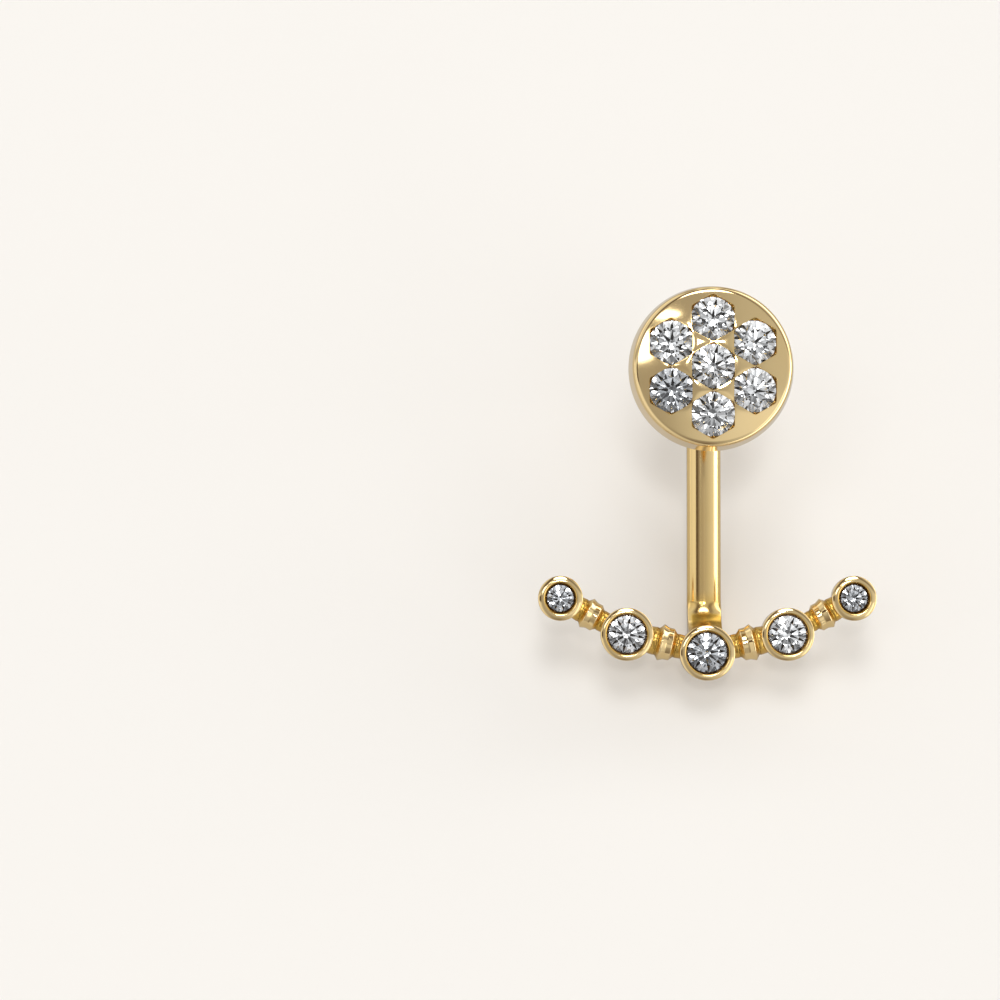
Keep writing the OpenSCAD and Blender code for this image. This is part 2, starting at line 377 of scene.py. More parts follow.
def cutDiamond(s, name, colors):
    # Diamond of a near-colourless round brilliant: sharp polished facets, clear, faintly and coolly cloudy
    material = bpy.data.materials.new(name)
    material.use_nodes = True
    tree = material.node_tree
    shader = tree.nodes["Principled BSDF"]
    shader.inputs["Transmission Weight"].default_value = 1.0
    shader.inputs["IOR"].default_value = s["ior"]
    shader.inputs["Roughness"].default_value = 0.0
    shader.inputs["Specular Tint"].default_value = hexColor(s["shine"])
    where = addNode(tree, "ShaderNodeTexCoord").outputs["Object"]
    cloud = noise(tree, s["cloudWidth"], 2.0, where)
    color = mixedColor(tree, cloud, hexColor(colors[0]), hexColor(colors[1]))
    tree.links.new(color, shader.inputs["Base Color"])
    return material


gold = polishedGold(goldSet, "polished 14k gold")
# The second diamond is a darker copy of the first: painted shade
bright = cutDiamond(diamondSet, "brilliant cut diamond", diamondSet["bright"])
shadedDiamond = cutDiamond(diamondSet, "shaded diamond", diamondSet["shadedDiamond"])
for name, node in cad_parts.items():
    if "stone" in name:
        node.data.materials.clear()
        node.data.materials.append(shadedDiamond if name in diamondSet["shadedStones"] else bright)
print("materials made")


# Jacket: five bezels and the roundels between them, all turned from outlines

jacketSet = {
    "drop": 11.2,  # from the post down to the middle stone
    "rimFront": -2.54,
    "lobeGap": 4.8,  # from the disc's back to the stem
    # The bezels; stone and hole are radii, and hole is the one that lets light in at the back
    "middle": {"across": 0.0, "rise": 0.0, "radius": 1.11, "stone": 0.8, "depth": 1.36, "rim": 0.27,
               "hole": 0.0},
    "second": {"across": 3.22, "rise": 0.74, "radius": 1.06, "stone": 0.76, "depth": 1.3, "rim": 0.26,
               "hole": 0.35},
    "end": {"across": 5.88, "rise": 2.18, "radius": 0.9, "stone": 0.55, "depth": 1.1, "rim": 0.3,
            "hole": 0.25},
    "rimTurn": (7, 30),  # degrees by which the rim's broad face slopes outwards, at its inner and outer end
    "rimEase": (0.1, 0.04),  # rounds at those ends
    "rimSteep": 75,  # degrees of the inner round's end
    "rimRecess": 1.35,  # there: the painted dark line of shade where the rim turns in to the stone
    "wallInset": 0.015,  # of the wall below the rim
    "wallTop": 0.24,  # below the rim's front
    "backEase": 0.2,
    "tableInset": 0.1,
    "lipCover": 0.02,
    "lipHeight": 0.1,
    "lipEase": 0.012,
    "seatGap": 0.02,
    "segments": 112,
}
# The cut of a stone, as shares of its radius, and how steeply the seat runs down behind it
crownHeight = 0.43 * math.tan(math.radians(34.5))
girdleHeight = 0.06
pavilionSlope = 0.8812


def bezelOutline(s, b):
    # From the back's middle round the outside, over the rim and down to the stone's seat
    r, (small, edge) = b["radius"], s["rimEase"]
    inner, outer = (math.radians(turn) for turn in s["rimTurn"])
    steep = math.radians(s["rimSteep"])
    girdle = -s["tableInset"] - crownHeight * b["stone"]
    lip = b["stone"] - s["lipCover"]
    seat = b["stone"] + s["seatGap"]
    girdleFoot = girdle - girdleHeight * b["stone"] - s["seatGap"]
    side = r - s["wallInset"]
    # Recess shade paints shade at the back's hole, under the rim, on the rim's inner round and down to the
    # seat
    wall = eased([(b["hole"], -b["depth"], 0, 0.5), (side, -b["depth"], s["backEase"], 0.0),
                  (side, -s["wallTop"], 0, 0.25)])

    # Three rounds that run into each other, and their middles
    across = b["rim"] - edge * (1 - math.sin(outer)) - small * (math.sin(inner) + math.sin(steep))
    broad = across / (math.sin(outer) - math.sin(inner))
    smallAt = Vector((r - b["rim"] + small * math.sin(steep), -small))
    broadAt = smallAt - (broad - small) * Vector((math.sin(inner), math.cos(inner)))
    edgeAt = broadAt + (broad - edge) * Vector((math.sin(outer), math.cos(outer)))
    rounds = ((edgeAt, edge, math.pi / 2, outer, 4), (broadAt, broad, outer, inner, 6),
              (smallAt, small, inner, -steep, 8))
    rim = []
    for middle, size, start, end, steps in rounds:
        for k in range(steps + (end == -steep)):  # only the last one needs its end point
            turn = start + (end - start) * k / steps
            rim.append((middle.x + size * math.sin(turn), middle.y + size * math.cos(turn),
                        s["rimRecess"] * smooth(-1.8 * turn / steep - 0.1)))
    inside = eased([(rim[-1][0] - 0.006, rim[-1][1] - 0.02, 0, 1.4),
                    (lip, girdle + s["lipHeight"], s["lipEase"], 1.5), (lip, girdle + s["seatGap"], 0, 1.5),
                    (seat, girdle + s["seatGap"], 0, 1.0), (seat, girdleFoot, 0, 1.0)])
    if b["hole"] == 0:
        return wall + rim + inside + [(0.0, girdleFoot - seat * pavilionSlope, 1.0)]
    shelf = girdleFoot - (seat - b["hole"]) * pavilionSlope
    return wall + rim + inside + [(b["hole"], shelf, 1.0), (b["hole"], -b["depth"], 0.5)]


roundelSet = {
    "below": 0.62,  # axis below the front of the rims
    "bite": 0.22,  # how far each end runs into its bezel
    "ridgeAt": 0.22,  # either side of the middle
    "ridgeEase": 0.045,
    "hollow": 0.045,  # of the band between the ridges
    "hollowEase": 0.16,
    # The groove beside a ridge: distance from the middle, share of the ridge's radius, ease, recess shade,
    # which paints the groove with shade and reflection of gold in gold
    "flank": ((0.265, 0.9, 0, 0.8), (0.37, 0.73, 0.07, 1.2), (0.45, 0.76, 0.04, 1.1)),
    "end": 0.72,  # the same share where it meets the bezel
    "inner": (0.65, 0.75),  # radii of the two ridges between the middle bezel and the second
    "outer": (0.57, 0.65),  # and between the second and the end bezel
    "segments": 96,
}


def roundelOutline(s, gap, ridges):
    # From one bezel to the next, along the roundel's own axis
    middle, (near, far) = gap / 2, ridges
    # Painted shade where each end runs into its bezel
    nearEnd = [(-s["bite"], near * s["end"], 0, 1.0)]
    nearEnd += [(middle - at, near * share, ease, deep) for at, share, ease, deep in reversed(s["flank"])]
    farEnd = [(middle + at, far * share, ease, deep) for at, share, ease, deep in s["flank"]]
    farEnd.append((gap + s["bite"], far * s["end"], 0, 1.0))
    band = [(middle - s["ridgeAt"], near, s["ridgeEase"], 0.0),
            (middle, (near + far) / 2 - s["hollow"], s["hollowEase"], 0.1),
            (middle + s["ridgeAt"], far, s["ridgeEase"], 0.0)]
    line = eased(nearEnd + band + farEnd)
    closed = [(-s["bite"], 0.0, 1.0)] + line + [(gap + s["bite"], 0.0, 1.0)]
    return [(r, along, deep) for along, r, deep in closed]


def arcMetal(s, roundels):
    meshes = []
    rows = [s["middle"], s["second"], s["end"]]
    spots = [Vector((b["across"], b["rise"] - s["drop"])) for b in rows]
    for row, spot in zip(rows, spots):
        meshes.append(turnedMesh("bezel", bezelOutline(s, row), {
            "Segments": s["segments"], "Copies": 2 if row["across"] else 1,
            "Place": (spot.x, spot.y, s["rimFront"])}))
    for i, ridges in enumerate((roundels["inner"], roundels["outer"])):
        way = spots[i + 1] - spots[i]
        start = spots[i] + way.normalized() * rows[i]["radius"]
        gap = way.length - rows[i]["radius"] - rows[i + 1]["radius"]
        meshes.append(turnedMesh("roundel", roundelOutline(roundels, gap, ridges), {
            "Segments": roundels["segments"], "Copies": 2,
            "Place": (start.x, start.y, s["rimFront"] - roundels["below"]),
            "Lay": math.pi / 2, "Turn": math.atan2(way.y, way.x)}))
    arc = meshPiece("arc_bezels", joined("arc", meshes), gold, "jacket")
    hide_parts("jacket_frame")
    return arc


arc = arcMetal(jacketSet, roundelSet)
print("arc of bezels made:", len(arc.data.polygons), "faces")


# Jacket: half-round stem with its bend and foot, and the eye on the post

stemSet = {
    "width": 1.36,
    "thickness": 0.95,
    "frontRadius": 0.78,
    "bendFrontRadius": 1.7,  # bending flattens the crown
    "edgeEase": 0.07,
    "bendRadius": 1.12,
    "bendSteps": 36,
    "flatAfter": 9,  # steps of the bend in which the crown flattens
    "footTop": -10.22,
    "footBite": 0.12,  # how far the foot runs into the middle bezel
    "recessShade": (0.1, 0.3),  # painted shade and roughness, more towards the bend: at the post, and what is added on the way to the bend
    "bendShade": (0.35, 0.45),  # painted shade added at the bend's start, and the mm in which that fades out
    # Painted reflection of the stem in itself, a deep yellow and rougher patch low on the bend, behind
    # the middle bezel: the turn where it begins, its left and right end, over how much each of them
    # fades, and its recess shade
    "reflectionPatch": (0.4, -0.62, 0.78, 0.15, 1.2),
    "eyeRadius": 1.35,
    "eyeThickness": 0.9,
    "eyeHole": 0.45,
    "eyeEase": 0.06,
    "eyeSegments": 96,
}


def stemSection(s, flat):
    # Half-round, flattened by a share of 0 to 1: across, and height above the flat back
    half, crown = s["width"] / 2, s["thickness"]
    r = 1 / ((1 - flat) / s["frontRadius"] + flat / s["bendFrontRadius"])
    side = crown - r + math.sqrt(r * r - half * half)  # height at which crown and side meet
    widest = math.degrees(math.acos(half / r))
    corner = s["edgeEase"]
    low = [(half - corner + corner * math.cos(a), corner + corner * math.sin(a))
           for a in (math.radians(k) for k in range(-90, 1, 15))]
    front = [(r * math.cos(a), crown - r + r * math.sin(a))
             for a in (math.radians(widest + (90 - widest) * k / 16) for k in range(17))]
    right = [(0.0, 0.0), (half - 1.4 * corner, 0.0)] + low + [(half, side - 0.02)] + front
    left = [(-x, y) for x, y in reversed(right[1:-1])]
    return right + left


def stemBar(s, lobeGap):
    back = -lobeGap - s["thickness"]
    bendY, bendZ = s["footTop"] + s["bendRadius"], -lobeGap + s["bendRadius"]
    # A station is the middle of the flat back, how far the bend has turned there and the crown's flatness
    straight = (0.0, -0.4, bendY + 0.4, bendY + 0.2, bendY + 0.1)
    stations = [(Vector((0, y, back)), 0.0, 0.0) for y in straight]
    reach = s["bendRadius"] + s["thickness"]
    for k in range(s["bendSteps"] + 1):
        turn = math.pi / 2 * k / s["bendSteps"]
        middle = Vector((0, bendY - reach * math.sin(turn), bendZ - reach * math.cos(turn)))
        stations.append((middle, turn, smooth(k / s["flatAfter"])))
    stations.append((Vector((0, bendY - reach, bendZ + s["footBite"])), math.pi / 2, 1.0))

    patchTurn, patchLeft, patchRight, fade, patchRecess = s["reflectionPatch"]
    shape = bmesh.new()
    depth = shape.verts.layers.float.new("recessShade")
    rings = []
    for centre, turn, flat in stations:
        out = Vector((0, math.sin(turn), math.cos(turn)))  # from the flat back to the crown
        ring = [shape.verts.new(toFrame(centre + Vector((x, 0, 0)) + out * y))
                for x, y in stemSection(s, flat)]
        # Painted shade down the stem towards the bend and at the bend's start, and the painted reflection
        # patch on the bend
        fromBend = max(0.0, centre.y - bendY) + turn * s["bendRadius"]
        along = (s["recessShade"][0] + s["recessShade"][1] * min(1.0, centre.y / bendY)
                 + s["bendShade"][0] * smooth(1 - fromBend / s["bendShade"][1]))
        for vert in ring:
            across = vert.co.x / mm
            reflectionPatch = (smooth((turn - patchTurn) / fade) * smooth((across - patchLeft) / fade)
                     * smooth((patchRight - across) / fade))
            vert[depth] = along * (1 - reflectionPatch) + patchRecess * reflectionPatch
        rings.append(ring)
    for one, two in zip(rings, rings[1:]):
        bridge(shape, one, two)
    shape.faces.new(rings[0])
    shape.faces.new(rings[-1])
    for face in shape.faces:
        face.smooth = len(face.verts) == 4  # all but the two end caps
    bmesh.ops.recalc_face_normals(shape, faces=shape.faces)
    bar = bpy.data.meshes.new("bar")
    shape.to_mesh(bar)
    shape.free()
    return bar


def stemEye(s, lobeGap):
    hole, rim, thick, ease = s["eyeHole"], s["eyeRadius"], s["eyeThickness"], s["eyeEase"]
    # Painted shade and rougher metal in the hole
    outline = eased([
        (hole, 0.3 * thick, 0, 0.6), (hole, 0, ease, 0.2), (rim, 0, ease, 0.0), (rim, thick, ease, 0.0),
        (hole, thick, ease, 0.2), (hole, 0.3 * thick, 0, 0.6)])
    return turnedMesh("eye", outline, {
        "Segments": s["eyeSegments"], "Place": (0, 0, -lobeGap - s["thickness"])})


def stemMetal(s, lobeGap):
    mesh = joined("stem", [stemBar(s, lobeGap), stemEye(s, lobeGap)])
    stem = meshPiece("jacket_stem", mesh, gold, "jacket")
    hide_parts("jacket_frame")
    return stem


stem = stemMetal(stemSet, jacketSet["lobeGap"])
print("stem made:", len(stem.data.polygons), "faces")


# Stud: domed disc with seven hexagonal openings and its ear post, one closed shape

studSet = {
    "radius": 3.25,
    "footHeight": 0.15,
    "wallLean": 0.0917,  # how much the wall draws in for each mm towards the face
    "depth": 1.9,
    "domeRadius": 16.0,
    "edgeEase": 0.27,
    "backEase": 0.16,
    "stonePitch": 1.9,
    "stoneRadius": 0.875,
    "girdleDepth": 0.32,
    "seatGap": 0.02,
    "openingApothem": 0.835,
    "cornerEase": 0.16,
    "openingLevels": (0.1, 0.035),  # rings of an opening's wall, above the girdle
    "openingRecess": (0.35, 0.05),  # painted shade at an opening's edge, and the mm in which it fades out
    "pillowWidth": 0.26,  # polish draws the metal between the stones down this far from an opening
    "pillowDrop": 0.018,  # and this deep
    "pillowBlend": 0.05,
    "pillowReach": (1.5, 2.4),  # distances from the middle between which it fades
    "undercut": 0.045,  # by which the opening widens below its edge, so that its far wall is out of sight
    "backHole": 0.42,
    "postRadius": 0.4,
    "postLength": 10.2,
    "postRoot": 0.14,  # width and height of the solder at the post's root
    "postChamfer": 0.2,
    "notch": (7.6, 8.2, 0.33),  # from, to and radius of the groove where the back catches
    # Points of the mesh: their spacing on the face, the rows round an opening by their distance from it,
    # the angles on the rounded edge, first those of the face and last the one where it ends, and counts
    "gridStep": 0.07,
    "openingRows": (0.02, 0.06, 0.1, 0.15, 0.2, 0.25),
    "faceAngles": (40, 30, 20, 12, 50),
    "edgeAngles": (56, 62, 68, 74, 80),
    "aroundDisc": 320,
    "aroundPost": 64,
}
cos30 = 0.8660254
tan30 = 0.57735027


def anglesRound(count):
    return [2 * math.pi * k / count for k in range(count)]


def added(points, more):
    # Puts more points at the end of the list and gives their places in it
    start = len(points)
    points += more
    return list(range(start, len(points)))


class DiscFace:
    # Height and slope of the polished face, and the seven stones' places in it
    def __init__(self, s):
        self.s = s
        self.domeZ = s["depth"] - s["domeRadius"]
        self.places = []
        for i in range(7):
            tilt = math.asin(s["stonePitch"] / s["domeRadius"]) if i else 0.0
            self.places.append(
                Matrix.Translation((0, 0, self.domeZ))
                @ Matrix.Rotation(math.radians(90 - 60 * (i - 1)), 4, "Z") @ Matrix.Rotation(tilt, 4, "Y")
                @ Matrix.Translation((0, 0, s["domeRadius"] - s["girdleDepth"])))
        self.into = [place.inverted() for place in self.places]
        # The middle of the rounded edge, which touches the dome and the leaning wall, found step by step
        ease, across = s["edgeEase"], s["radius"] - s["edgeEase"] - 0.1
        for _ in range(30):
            up = math.sqrt((s["domeRadius"] - ease) ** 2 - across ** 2) + self.domeZ
            across = (s["radius"] - (up - s["footHeight"]) * s["wallLean"]
                      - ease / math.cos(math.atan(s["wallLean"])))
        self.easeCentre = (across, up)
        self.easeStart = across * s["domeRadius"] / (s["domeRadius"] - ease)

    def loop(self, away, sideSteps=12, cornerSteps=8):
        # Points round a hexagonal opening, that far outside its edge
        s = self.s
        inner = s["openingApothem"] - s["cornerEase"]
        half, reach = inner * math.tan(math.radians(30)), s["cornerEase"] + away
        points = []
        for k in range(6):
            normal = math.radians(30 + 60 * k)
            out = Vector((math.cos(normal), math.sin(normal)))
            along = Vector((-math.sin(normal), math.cos(normal)))
            for j in range(sideSteps):
                points.append(out * (inner + reach) + along * half * (2 * j / sideSteps - 1))
            corner = out * inner + along * half
            for j in range(cornerSteps):
                a = normal + math.radians(60 * j / cornerSteps)
                points.append(corner + Vector((math.cos(a), math.sin(a))) * reach)
        return points

    def edgeDistance(self, u, v):
        # Distance outside a hexagonal opening, corners at 0, 60 and so on
        r = self.s["openingApothem"] - self.s["cornerEase"]
        x, y = abs(u), abs(v)
        lean = min(-cos30 * x + 0.5 * y, 0.0) * 2
        x, y = x + cos30 * lean, y - 0.5 * lean
        limit = tan30 * r
        x, y = x - max(-limit, min(limit, x)), y - r
        return math.hypot(x, y) * (1 if y > 0 else -1) - self.s["cornerEase"]

    def distances(self, x, y):
        # From each of the seven openings
        z = self.domeZ + math.sqrt(self.s["domeRadius"] ** 2 - x * x - y * y)
        return [self.edgeDistance(*(into @ Vector((x, y, z))).xy) for into in self.into]

    def blended(self, x, y):
        # The smallest distance, without a crease halfway between two openings
        k = self.s["pillowBlend"]
        far = self.distances(x, y)
        low = min(far)
        return low - k * math.log(sum(math.exp(-(d - low) / k) for d in far))

    def pillow(self, x, y):
        # How far the polish has drawn the face down
        s = self.s
        near, far = s["pillowReach"]
        share = 1 - max(0.0, self.blended(x, y)) / s["pillowWidth"]
        fade = smooth((math.hypot(x, y) - near) / (far - near))
        return s["pillowDrop"] * max(0.0, share) ** 2 * (1 - fade)

    def onDome(self, i, point):
        # A point by an opening, in the opening's own plane, brought to the dome
        s = self.s
        w = s["girdleDepth"] - s["domeRadius"] + math.sqrt(s["domeRadius"] ** 2 - point.length_squared)
        return (self.places[i] @ Vector((point.x, point.y, w))).xy

    def surface(self, x, y):
        # Height of the face and its normal
        s = self.s
        far = math.hypot(x, y)
        if far > self.easeStart:
            past = far - self.easeCentre[0]
            side = math.sqrt(max(1e-9, s["edgeEase"] ** 2 - past ** 2))
            z, slope = self.easeCentre[1] + side, -past / side
        else:
            side = math.sqrt(s["domeRadius"] ** 2 - far * far)
            z, slope = self.domeZ + side, -far / side
        gradient = Vector((x, y)) * (slope / max(far, 1e-6))
        step = 1e-4
        if min(self.distances(x, y)) < 2 * s["pillowWidth"] and far < s["pillowReach"][1]:
            gradient -= Vector((self.pillow(x + step, y) - self.pillow(x - step, y),
                                self.pillow(x, y + step) - self.pillow(x, y - step))) / (2 * step)
            z -= self.pillow(x, y)
        return z, Vector((-gradient.x, -gradient.y, 1)).normalized()


def triangulated(points, outer, holes):
    # Triangles between the points that fill the outer loop round its holes
    edges = [(outer[i], outer[(i + 1) % len(outer)]) for i in range(len(outer))]
    _, _, faces, origins, _, inHole = delaunay_2d_cdt([Vector(p) for p in points], edges, holes, 0, 1e-7)
    return [[min(origins[i]) for i in face] for face, hole in zip(faces, inHole) if not hole]


def facePoints(face):
    # The face's points, and the loops in them: the seven openings' edges and then the disc's
    s = face.s
    points = []
    loops = [added(points, [face.onDome(i, p) for p in face.loop(0)]) for i in range(7)]
    around = [Vector((math.cos(a), math.sin(a))) for a in anglesRound(s["aroundDisc"])]
    *ringRadii, rimRadius = (face.easeCentre[0] + s["edgeEase"] * math.sin(math.radians(angle))
                             for angle in s["faceAngles"])
    loops.append(added(points, [p * rimRadius for p in around]))

    # Rows round each opening, up to where another one is nearer
    slack = 0.003
    for away in s["openingRows"]:
        for i in range(7):
            for spot in (face.onDome(i, p) for p in face.loop(away, 16, 10)):
                near, second = sorted(face.distances(*spot))[:2]
                if second > near + slack and near > away - slack and spot.length < rimRadius - 0.01:
                    points.append(spot)
    for ring in ringRadii:
        points += [p * ring for p in around if min(face.distances(*(p * ring))) > 0.02]

    # A triangular grid over the rest
    step, rowShare = s["gridStep"], 0.866
    for row in range(int(2 * s["radius"] / (step * rowShare))):
        for column in range(int(2 * s["radius"] / step)):
            x = (column + 0.5 * (row % 2)) * step - s["radius"]
            spot = Vector((x, row * step * rowShare - s["radius"]))
            if spot.length < face.easeStart - 0.02 and min(face.distances(*spot)) > 0.015:
                points.append(spot)
    return points, loops


class DiscShape:
    # The disc's metal while it is built, from loop to loop
    def __init__(self):
        self.shape = bmesh.new()
        self.depth = self.shape.verts.layers.float.new("recessShade")

    def vert(self, spot, recessShade):
        made = self.shape.verts.new(toFrame(spot))
        made[self.depth] = recessShade
        return made

    def ring(self, spots, recessShade=0.0):
        return [self.vert(spot, recessShade) for spot in spots]

    def grow(self, last, spots, recessShade=0.0):
        # A band of faces from the last loop to a new one
        return bridge(self.shape, last, self.ring(spots, recessShade))

    def sharpen(self, loop):
        for i in range(len(loop)):
            edge = self.shape.edges.get((loop[i], loop[(i + 1) % len(loop)]))
            edge.smooth = False


def polishedFace(metal, face):
    # Gives the loops round its openings and its own, and its normals, but for those of its own loop
    points, loops = facePoints(face)
    edgeRecess, fade = face.s["openingRecess"]
    verts, normals = [], {}
    for p in points:
        z, normal = face.surface(p.x, p.y)
        # Painted shade and rougher metal at each opening's edge
        recessShade = edgeRecess * max(0.0, 1 - max(0.0, face.blended(p.x, p.y)) / fade)
        vert = metal.vert((p.x, p.y, z), recessShade)
        normals[vert] = toFrame(normal).normalized()
        verts.append(vert)
    for i in loops[7]:
        normals.pop(verts[i])
    for tri in triangulated(points, loops[7], loops[:7]):
        metal.shape.faces.new([verts[i] for i in tri])
    return [[verts[i] for i in loop] for loop in loops], normals


def stoneSeat(metal, face, i, last):
    # An opening's wall and seat, and its hole to the back, whose loop and points there are given
    s, place, outline = face.s, face.places[i], face.loop(face.s["undercut"])
    seat = s["stoneRadius"] + s["seatGap"]
    girdleFoot = -girdleHeight * s["stoneRadius"] - s["seatGap"]
    circle = [p.normalized() for p in outline]
    # Its wall, seat and hole get painted shade and rougher metal by their recess shade
    for w in s["openingLevels"]:
        last = metal.grow(last, [place @ Vector((p.x, p.y, w)) for p in outline], 0.8)
    for w in (s["seatGap"], girdleFoot):
        last = metal.grow(last, [place @ Vector((p.x * seat, p.y * seat, w)) for p in circle], 1.0)
    if i == 0:  # the post stands behind the middle stone, so its seat is closed
        apex = metal.vert(place @ Vector((0, 0, girdleFoot - seat * pavilionSlope)), 1.0)
        for k in range(len(last)):
            metal.shape.faces.new((last[k], last[(k + 1) % len(last)], apex))
        return None
    hole = s["backHole"]
    shelf = girdleFoot - (seat - hole) * pavilionSlope
    spots = [place @ Vector((p.x * hole, p.y * hole, shelf)) for p in circle]
    last = metal.grow(last, spots, 0.9)
    metal.sharpen(last)
    down = place.to_3x3() @ Vector((0, 0, -1))
    exits = [spot - down * (spot.z / down.z) for spot in spots]
    last = metal.grow(last, exits, 0.3)
    metal.sharpen(last)
    return last, exits


def roundSpots(r, z, count):
    return [(r * math.cos(a), r * math.sin(a), z) for a in anglesRound(count)]


def edgeAndWall(metal, face, last):
    # The rounded edge, the wall and the back edge
    s = face.s
    ease, (easeR, easeZ) = s["edgeEase"], face.easeCentre
    for angle in (*s["edgeAngles"], 90 - math.degrees(math.atan(s["wallLean"]))):
        a = math.radians(angle)
        topR, topZ = easeR + ease * math.sin(a), easeZ + ease * math.cos(a)
        last = metal.grow(last, roundSpots(topR, topZ, s["aroundDisc"]))
    foot = s["radius"] + s["footHeight"] * s["wallLean"]
    wall = eased([(topR, topZ, 0, 0), (foot, 0, s["backEase"], 0), (0.8 * s["radius"], 0, 0, 0)])
    for r, z, _ in wall[1:-1]:
        last = metal.grow(last, roundSpots(r, z, s["aroundDisc"]))
    return last, [Vector((v.co.x, v.co.z, 0)) / mm for v in last]


def earPost(metal, s):
    # From a soft root to its chamfered end, with painted shade at the root and in the groove
    post, root, length = s["postRadius"], s["postRoot"], s["postLength"]
    notchStart, notchEnd, notchRadius = s["notch"]
    side = eased([(post + root, 0, 0, 0.4), (post, -root, 0.12, 0.4), (post, -notchStart, 0.05, 0),
                  (notchRadius, -(notchStart + notchEnd) / 2, 0.2, 0.6), (post, -notchEnd, 0.05, 0),
                  (post, s["postChamfer"] - length, 0.05, 0), (post / 2, -length, 0.05, 0),
                  (0, -length, 0, 0)])
    rings = [metal.ring(roundSpots(r, z, s["aroundPost"]), deep) for r, z, deep in side[:-1]]
    for one, two in zip(rings, rings[1:]):
        bridge(metal.shape, one, two)
    metal.sharpen(rings[0])
    metal.shape.faces.new(rings[-1])
    angles = anglesRound(s["aroundPost"])
    return rings[0], [Vector((math.cos(a), math.sin(a), 0)) * (post + root) for a in angles]


def flatBack(metal, outer, inner):
    # Fills the outer loop round the holes and the post
    verts, loops, points = [], [], []
    for loop, spots in [outer] + inner:
        loops.append(added(verts, loop))
        points += [spot.xy for spot in spots]
    for tri in triangulated(points, loops[0], loops[1:]):
        metal.shape.faces.new([verts[i] for i in tri])


def discMetal(s):
    face, metal = DiscFace(s), DiscShape()
    loops, normals = polishedFace(metal, face)
    holes = [stoneSeat(metal, face, i, loops[i]) for i in range(7)][1:]
    outer = edgeAndWall(metal, face, loops[7])
    flatBack(metal, outer, holes + [earPost(metal, s)])

    shape = metal.shape
    for f in shape.faces:
        f.smooth = True
    bmesh.ops.recalc_face_normals(shape, faces=shape.faces)
    # A zero vector leaves a corner its own normal, which keeps the sharp edges at the back
    cornerNormals = [normals.get(vert, Vector((0, 0, 0))) for f in shape.faces for vert in f.verts]
    print("disc edges that don't join two faces:", sum(len(edge.link_faces) != 2 for edge in shape.edges))
    mesh = bpy.data.meshes.new("disc")
    shape.to_mesh(mesh)
    shape.free()
    mesh.normals_split_custom_set(cornerNormals)
    disc = meshPiece("stud_disc", mesh, gold, "stud")
    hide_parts("stud_setting")
    return disc


disc = discMetal(studSet)
print("disc and post made:", len(disc.data.polygons), "faces")


# Friction back: one plain turned piece on the post

backSet = {
    "front": 5.82,  # of its plate, behind the disc's back
    "plateRadius": 2.2,
    "plate": 0.35,
    "plateEase": 0.1,
    "bossRadius": 1.0,
    "bossEase": (0.12, 0.16),  # at its foot and at its top
    "depth": 2.3,
    "bore": 0.42,
    "boreEase": 0.06,
    "segments": 128,
}


def frictionBack(s):
    bore, rim, boss = s["bore"], s["plateRadius"], s["bossRadius"]
    plate, depth, (footEase, topEase) = s["plate"], s["depth"], s["bossEase"]
    # Painted shade and rougher metal in the bore and round the boss's foot
    outline = eased([
        (bore, depth / 2, 0, 0.6), (bore, 0, s["boreEase"], 0.3), (rim, 0, s["plateEase"], 0.0),
        (rim, plate, s["plateEase"], 0.0), (boss, plate, footEase, 0.5), (boss, depth, topEase, 0.0),
        (bore, depth, s["boreEase"], 0.2), (bore, depth / 2, 0, 0.6)])
    mesh = turnedMesh("back", [(r, -h, deep) for r, h, deep in outline], {
        "Segments": s["segments"], "Place": (0, 0, -s["front"])})
    back = meshPiece("back_turned", mesh, gold, "stud")
    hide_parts("friction_back")
    return back


back = frictionBack(backSet)
print("friction back made:", len(back.data.polygons), "faces")


# Stage: a sheet of cream paper that stands behind the earring

stageSet = {
    "wallAt": 10.5,  # just behind the post's end
    "lean": 25.0,  # degrees; its lower part comes nearer to the arc
    "halfWidth": 260.0,
    "low": -30.0,
    "high": 220.0,
    "color": "#E5E2DD",
    "roughness": 0.95,
    "gloss": 0.1,
    "glow": 0.14,  # light that comes through the paper from behind
    "mirrored": 0.68,  # share of its light where the metal mirrors it: painted shade, as if the paper by the earring lay in its shade
}


def creamPaper(s, name):
    # Matt uncoated paper, and clear from behind, so that the earring's back can be seen; in the metal's
    # reflections it is darker, as painted shade
    material = bpy.data.materials.new(name)
    material.use_nodes = True
    tree = material.node_tree
    shader = tree.nodes["Principled BSDF"]
    shader.inputs["Roughness"].default_value = s["roughness"]
    shader.inputs["Specular IOR Level"].default_value = s["gloss"]
    shader.inputs["Emission Strength"].default_value = s["glow"]
    cream = hexColor(s["color"])
    shaded = (*(channel * s["mirrored"] for channel in cream[:3]), 1.0)
    # Painted shade: the paper's colour is darker in the metal's reflections
    mirrored = addNode(tree, "ShaderNodeLightPath").outputs["Is Glossy Ray"]
    color = mixedColor(tree, mirrored, cream, shaded)
    tree.links.new(color, shader.inputs["Base Color"])
    tree.links.new(color, shader.inputs["Emission Color"])
    away = addNode(tree, "ShaderNodeNewGeometry").outputs["Backfacing"]
    clear = addNode(tree, "ShaderNodeBsdfTransparent")
    both = addNode(tree, "ShaderNodeMixShader", {}, {0: away, 1: shader.outputs[0], 2: clear.outputs[0]})
    tree.links.new(both.outputs[0], tree.nodes["Material Output"].inputs["Surface"])
    return material


